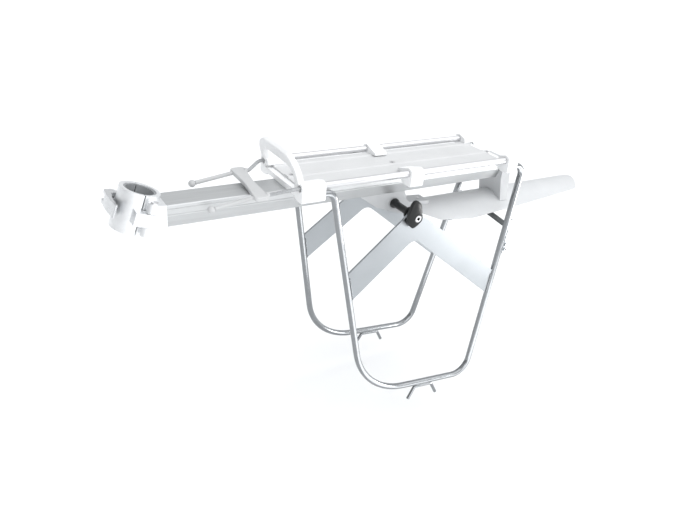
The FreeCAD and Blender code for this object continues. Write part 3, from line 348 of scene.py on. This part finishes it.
def make_finishes():
    return {
        "clamp_metal": anodised("clamp_metal", (0.86, 0.87, 0.88), 0.42, 0.0008),
        "clamp_pad": rubber("clamp_pad", (0.30, 0.31, 0.32)),
        "steel_hardware": steel("steel_hardware", (0.66, 0.66, 0.67), 0.3),
        "lever_metal": anodised("lever_metal", (0.68, 0.69, 0.7), 0.3, 0.0008),
        "beam_metal": anodised("beam_metal", (0.57, 0.58, 0.585), 0.5),
        "deck_plastic": moulded("deck_plastic", (0.65, 0.655, 0.66), 0.5),
        "rail_metal": anodised("rail_metal", (0.68, 0.68, 0.69), 0.32),
        "bracket_plastic": moulded("bracket_plastic", (0.93, 0.935, 0.94), 0.46, edge=0.001),
        "stop_plastic": moulded("stop_plastic", (0.84, 0.845, 0.85), 0.48, edge=0.001),
        "handle_plastic": moulded("handle_plastic", (0.56, 0.565, 0.57), 0.46, edge=0.0008),
        "bungee_hook": moulded("bungee_hook", (0.5, 0.505, 0.51), 0.4),
        "bungee_rubber": braided("bungee_rubber", (0.44, 0.45, 0.46)),
        "guard_plastic": moulded("guard_plastic", (0.60, 0.61, 0.62), 0.42, 0.15),
        "support_plastic": moulded("support_plastic", (0.55, 0.56, 0.57), 0.48, edge=0.001),
        "frame_tube": anodised("frame_tube", (0.275, 0.285, 0.295), 0.18),
        "frame_plate": brushed_plate("frame_plate", (0.395, 0.415, 0.432), 0.36),
        # painted shade: the cross strap is the plates' brushed aluminium with its base colour darkened to a
        # deep grey
        "strap_metal": brushed_plate("strap_metal", (0.122, 0.129, 0.132), 0.4),
        "screw_plastic": moulded("screw_plastic", (0.008, 0.009, 0.0095), 0.38, 0.2, 0.0008),
        "bright_screw": socket_screw("bright_screw", (0.8, 0.8, 0.81), 0.14),
    }


def dress_frame(finishes):
    """Gives every CAD node the finish of its material slot."""
    slots = {part["node"]: part["material_slot"] for part in frame["record"]["subparts"]}
    for name, item in NODES.items():
        item.data.materials.clear()
        item.data.materials.append(finishes[slots[name]].material)


# ---- mesh building ------------------------------------------------------------------------------


def add_piece(name, points, faces, body, slot, finishes):
    """Makes a smooth-shaded mesh piece that rides on a CAD body."""
    sheet = bpy.data.meshes.new(name)
    sheet.from_pydata([tuple(point) for point in points], [], faces)
    sheet.validate()
    shape = bmesh.new()
    shape.from_mesh(sheet)
    bmesh.ops.recalc_face_normals(shape, faces=shape.faces)
    shape.to_mesh(sheet)
    shape.free()
    sheet.shade_smooth()
    sheet.materials.append(finishes[slot].material)
    piece = bpy.data.objects.new(name, sheet)
    bpy.context.scene.collection.objects.link(piece)
    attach(piece, body)
    return piece


def ring_faces(rings, around, wrap):
    """Quads between neighbouring rings of points; wrap also joins the last ring to the first."""
    faces = []
    for k in range(rings if wrap else rings - 1):
        for j in range(around):
            here = k * around
            there = ((k + 1) % rings) * around
            ahead = (j + 1) % around
            faces.append((here + j, here + ahead, there + ahead, there + j))
    return faces


def swept(path, radii, around):
    """A closed tube of changing radius along a path, with a flat cap at both ends."""
    points = []
    count = len(path)
    for k in range(count):
        heading = (path[min(k + 1, count - 1)] - path[max(k - 1, 0)]).normalized()
        side = heading.cross(Vector((0.3, 0.5, 0.81))).normalized()
        up = side.cross(heading)
        for j in range(around):
            turn = math.tau * j / around
            points.append(path[k] + (side * math.cos(turn) + up * math.sin(turn)) * radii[k])
    faces = ring_faces(count, around, False)
    faces.append(tuple(range(around)))
    faces.append(tuple(range((count - 1) * around, count * around)))
    return points, faces


RIPPLE_DEPTH = 0.16
TIP_SHARE = 0.35
TAPER_STEPS = 3


def bead_radii(count, radius, pitch_steps):
    """A weld bead's radius along its length: scalloped ripples, tapering in at both ends."""
    radii = []
    for k in range(count):
        ripple = 1 + RIPPLE_DEPTH * math.cos(math.tau * k / pitch_steps)
        end = min(k, count - 1 - k) / TAPER_STEPS
        radii.append(radius * ripple * min(1, TIP_SHARE + (1 - TIP_SHARE) * end))
    return radii


BEAD_STEP = 0.00035
STEPS_PER_RIPPLE = 5
BEAD_SIDES = 8


def weld_bead(name, corners, radius, finishes):
    """A welded seam on the side frames, along straight runs between corners."""
    path = []
    for start, end in zip(corners, corners[1:]):
        steps = max(4, int((end - start).length / BEAD_STEP))
        path += [start.lerp(end, k / steps) for k in range(steps)]
    path.append(corners[-1])
    points, faces = swept(path, bead_radii(len(path), radius, STEPS_PER_RIPPLE), BEAD_SIDES)
    add_piece(name, points, faces, "side_frames", "frame_tube", finishes)


# ---- side frames --------------------------------------------------------------------------------

# These repeat the CAD's sizes. TUBE and PLATE_HALF are half of a thickness.
SPLAY = math.radians(3.9)
HOOP_Y = 0.0476
HOOP_Z = 0.0094
TUBE = 0.004
PLATE_HALF = 0.0014
# each leg: x at its top, x at its foot, and the drop between them
FRONT_LEG = (0.1968, 0.2535, 0.2794)
REAR_LEG = (0.475, 0.426, 0.2984)
# each run is a pair of drops between which the weld lies
FRONT_PLATE_RUN = (0.1065, 0.1365)
REAR_PLATE_RUN = (0.1465, 0.1745)
TAB_RUN = (0.0755, 0.0855)
SEAM_LIFT = 0.0004
HOOK_SHOULDER = 0.0125
HOOK_SEAM_OUT = 0.0017
TAB_SEAM_OUT = 0.0009
STRAP_SEAM_RISE = 0.0006
STRAP_SEAM_MARGIN = 0.001
BUSH_SEAM_GAP = 0.0003
BUSH_SEAM_STEPS = 48
PLATE_BEAD = 0.0009
HOOK_BEAD = 0.0008
BUSH_BEAD = 0.0006
TAB_BEAD = 0.0008
STRAP_BEAD = 0.0007


def on_frame(side, x, drop, out=0.0):
    """A point in a hoop's leaning plane: drop metres below its top rods, out metres off its face."""
    y = HOOP_Y + drop * math.sin(SPLAY) + out * math.cos(SPLAY)
    z = HOOP_Z - drop * math.cos(SPLAY) + out * math.sin(SPLAY)
    return Vector((x, side * y, z))


def leg_x(leg, drop):
    """Where a leg's centre line is, along x, at a drop below the top rods."""
    top, low, fall = leg
    return top + (low - top) * drop / fall


def make_plate_seams(tag, side, finishes):
    """Fillet welds where the brace plate's four corners meet the hoop's legs."""
    reach = math.sqrt(TUBE**2 - PLATE_HALF**2) + SEAM_LIFT
    for place, leg, toward, run in (
        ("front", FRONT_LEG, 1, FRONT_PLATE_RUN),
        ("rear", REAR_LEG, -1, REAR_PLATE_RUN),
    ):
        for face, out in (("outer", PLATE_HALF + SEAM_LIFT), ("inner", -PLATE_HALF - SEAM_LIFT)):
            corners = [on_frame(side, leg_x(leg, drop) + toward * reach, drop, out) for drop in run]
            weld_bead(f"{tag}_{place}_{face}_seam", corners, PLATE_BEAD, finishes)


def make_hook_seams(tag, side, finishes):
    """Welds along both sides of the line where the wire hook touches the hoop's lowest run."""
    low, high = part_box(f"{tag}_lower_hook")
    front = low.x + HOOK_SHOULDER
    back = high.x - HOOK_SHOULDER
    fall_per_metre = (REAR_LEG[2] - FRONT_LEG[2]) / (REAR_LEG[1] - FRONT_LEG[1])
    for face, out in (("outer", HOOK_SEAM_OUT), ("inner", -HOOK_SEAM_OUT)):
        corners = []
        for x in (front, back):
            drop = FRONT_LEG[2] + (x - FRONT_LEG[1]) * fall_per_metre + TUBE - 0.0001
            corners.append(on_frame(side, x, drop, out))
        weld_bead(f"{tag}_hook_{face}_seam", corners, HOOK_BEAD, finishes)


def make_bush_seam(tag, side, finishes):
    """A ring weld round the threaded bush, on the plate's outer face."""
    low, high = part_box(f"{tag}_threaded_bush")
    centre = (low + high) / 2
    radius = (high.x - low.x) / 2 + BUSH_SEAM_GAP
    drop = (HOOP_Z - centre.z) / math.cos(SPLAY)
    ring = []
    for k in range(BUSH_SEAM_STEPS + 1):
        turn = math.tau * k / BUSH_SEAM_STEPS
        x = centre.x + radius * math.cos(turn)
        ring.append(on_frame(side, x, drop + radius * math.sin(turn), PLATE_HALF))
    weld_bead(f"{tag}_bush_seam", ring, BUSH_BEAD, finishes)


def make_tab_seam(tag, side, finishes):
    """The short weld that holds the reflector tab to the rear leg."""
    corners = [on_frame(side, leg_x(REAR_LEG, drop) + TUBE, drop, TAB_SEAM_OUT) for drop in TAB_RUN]
    weld_bead(f"{tag}_tab_seam", corners, TAB_BEAD, finishes)


def make_strap_seam(tag, side, finishes):
    """The weld under the cross strap's end."""
    low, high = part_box("cross_strap")
    drop = HOOP_Z - low.z - STRAP_SEAM_RISE
    front = leg_x(REAR_LEG, drop)
    ends = (front - STRAP_SEAM_MARGIN, high.x - STRAP_SEAM_MARGIN)
    corners = [on_frame(side, x, drop, -TUBE * 0.9) for x in ends]
    weld_bead(f"{tag}_strap_seam", corners, STRAP_BEAD, finishes)


# ---- hand screws --------------------------------------------------------------------------------

# the knob's outline about the screw's axis: (x, z) corners in millimetres
KNOB_LOBES = ((-3, 23), (4, 17), (7, 2), (4, -7), (-4, -13.5), (-12, -6), (-13, 3), (-8.5, 19))
KNOB_STEPS = 72
ROUNDING_STEPS = 4
ROUNDING_TURN = math.radians(2)
BOLT_SEAT = 0.0044
BORE = 0.0026
SEAT_DEPTH = 0.0048
COLLAR_WALL = 0.0016
COLLAR_CHAMFER = 0.0003
CROWN_FROM = 0.7
CREST_FALL = 0.0009
CREST_HEADING = math.radians(98)


def lobe_radius(turn):
    """The knob's outline as a distance from the screw's axis, rounded by averaging nearby directions."""
    total = 0
    for k in range(-ROUNDING_STEPS, ROUNDING_STEPS + 1):
        total += lobe_edge(turn + k * ROUNDING_TURN)
    return total / (2 * ROUNDING_STEPS + 1) / 1000


def lobe_edge(turn):
    """Where a ray from the axis leaves the polygon through the lobes' corners, in millimetres."""
    ray = Vector((math.cos(turn), math.sin(turn)))
    best = 0
    for (x0, z0), (x1, z1) in zip(KNOB_LOBES, KNOB_LOBES[1:] + KNOB_LOBES[:1]):
        edge = Vector((x1 - x0, z1 - z0))
        start = Vector((x0, z0))
        crossing = ray.x * edge.y - ray.y * edge.x
        if abs(crossing) < 1e-9:
            continue
        distance = (start.x * edge.y - start.y * edge.x) / crossing
        along = (start.x * ray.y - start.y * ray.x) / crossing
        if -1e-6 <= along <= 1 + 1e-6 and distance > best:
            best = distance
    return best


def make_knob(tag, side, finishes):
    """The moulded knob: lobed sides, a crowned face with a crest along it, and a collar round the bolt."""
    low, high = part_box(f"{tag}_clamp_knob")
    bolt_low, bolt_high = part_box(f"{tag}_knob_bolt")
    centre = (bolt_low + bolt_high) / 2
    inner, outer = sorted((abs(low.y), abs(high.y)))
    depth = outer - inner
    # each pair: share of the way from the collar to the outline, share of the depth from the inner face
    sides = ((0.90, 0), (0.97, 0.04), (1, 0.135), (1, 0.5), (0.985, 0.62), (0.93, 0.74))
    crown = ((0.8, 0.82), (0.6, 0.88), (0.4, 0.915), (0.2, 0.935), (0.06, 0.94))
    collar = BOLT_SEAT + COLLAR_WALL
    seat_floor = depth - SEAT_DEPTH
    rings = [("round", BORE, 0)]
    rings += [("lobed", share, depth * reach) for share, reach in sides + crown]
    rings += [("round", collar, depth * 0.95), ("round", collar - COLLAR_CHAMFER, depth)]
    rings += [("round", BOLT_SEAT, depth), ("round", BOLT_SEAT, seat_floor), ("round", BORE, seat_floor)]
    points = []
    for kind, amount, reach in rings:
        for k in range(KNOB_STEPS):
            turn = math.tau * k / KNOB_STEPS
            edge = lobe_radius(turn)
            distance = amount if kind == "round" else collar + (edge - collar) * amount
            crest = 0.0
            if kind == "lobed" and reach > depth * CROWN_FROM:
                crest = -CREST_FALL * abs(math.sin(turn - CREST_HEADING)) * amount
            x = centre.x + distance * math.cos(turn)
            z = centre.z + distance * math.sin(turn)
            points.append(Vector((x, side * (inner + reach + crest), z)))
    faces = ring_faces(len(rings), KNOB_STEPS, True)
    knob = add_piece(f"{tag}_moulded_knob", points, faces, f"{tag}_knob", "screw_plastic", finishes)
    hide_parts(f"{tag}_clamp_knob")


# ---- small fittings on the rack -----------------------------------------------------------------

HANDLE_CORD_Y = 0.029
HANDLE_ROLL = math.radians(5.9)
COLLAR_BITE = 0.0022
PLUG_RIM = 0.0004
PLUG_DOME = 0.0013
DOME_STEPS = 7


def lathe(name, profile, place, toward, body, slot, finishes, around=32):
    """Turns a closed (radius, height) profile about an axis that starts at place."""
    axis = Vector(toward).normalized()
    side = axis.orthogonal().normalized()
    up = axis.cross(side)
    points = []
    for radius, height in profile:
        for k in range(around):
            turn = math.tau * k / around
            points.append(place + axis * height + (side * math.cos(turn) + up * math.sin(turn)) * radius)
    faces = ring_faces(len(profile), around, False)
    faces.append(tuple(range(around)))
    faces.append(tuple(range((len(profile) - 1) * around, len(profile) * around)))
    add_piece(name, points, faces, body, slot, finishes)


def make_rail_plugs(finishes):
    """Domed plugs in the rear mouths of the two deck rails."""
    for tag in SIDES:
        low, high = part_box(f"{tag}_rail")
        mouth = Vector((high.x, (low.y + high.y) / 2, (low.z + high.z) / 2))
        radius = (high.z - low.z) / 2
        rim = radius - 0.0001
        profile = [(0.0022, -0.006), (0.0026, -0.0058), (0.0026, 0), (rim - 0.0002, 0.0001), (rim, PLUG_RIM)]
        for k in range(1, DOME_STEPS):
            turn = math.pi / 2 * k / DOME_STEPS
            profile.append((rim * math.cos(turn), PLUG_RIM + PLUG_DOME * math.sin(turn)))
        lathe(f"{tag}_rail_plug", profile, mouth, (1, 0, 0), "rack", "handle_plastic", finishes)


def make_cord_collars(finishes):
    """Moulded strain collars where the elastic cords leave the back edge of the cross handle."""
    low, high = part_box("bungee_handle")
    across = HANDLE_CORD_Y * math.cos(HANDLE_ROLL)
    rise = HANDLE_CORD_Y * math.sin(HANDLE_ROLL)
    middle = (low.z + high.z) / 2
    neck = [(0.0024, 0), (0.0034, 0.0004), (0.0035, 0.0030), (0.0032, 0.0036)]
    lip = [(0.0028, 0.0040), (0.0022, 0.0042)]
    for tag, side in SIDES.items():
        place = Vector((high.x - COLLAR_BITE, side * across, middle + side * rise))
        lathe(f"{tag}_cord_collar", neck + lip, place, (1, 0, 0), "rack", "handle_plastic", finishes)


# ---- the scene ----------------------------------------------------------------------------------

make_camera()
finishes = make_finishes()
dress_frame(finishes)
for tag, side in SIDES.items():
    make_plate_seams(tag, side, finishes)
    make_hook_seams(tag, side, finishes)
    make_bush_seam(tag, side, finishes)
    make_tab_seam(tag, side, finishes)
    make_strap_seam(tag, side, finishes)
    make_knob(tag, side, finishes)
make_rail_plugs(finishes)
make_cord_collars(finishes)
make_world()
make_lights()
make_floor()
bpy.context.scene.view_settings.view_transform = "Standard"
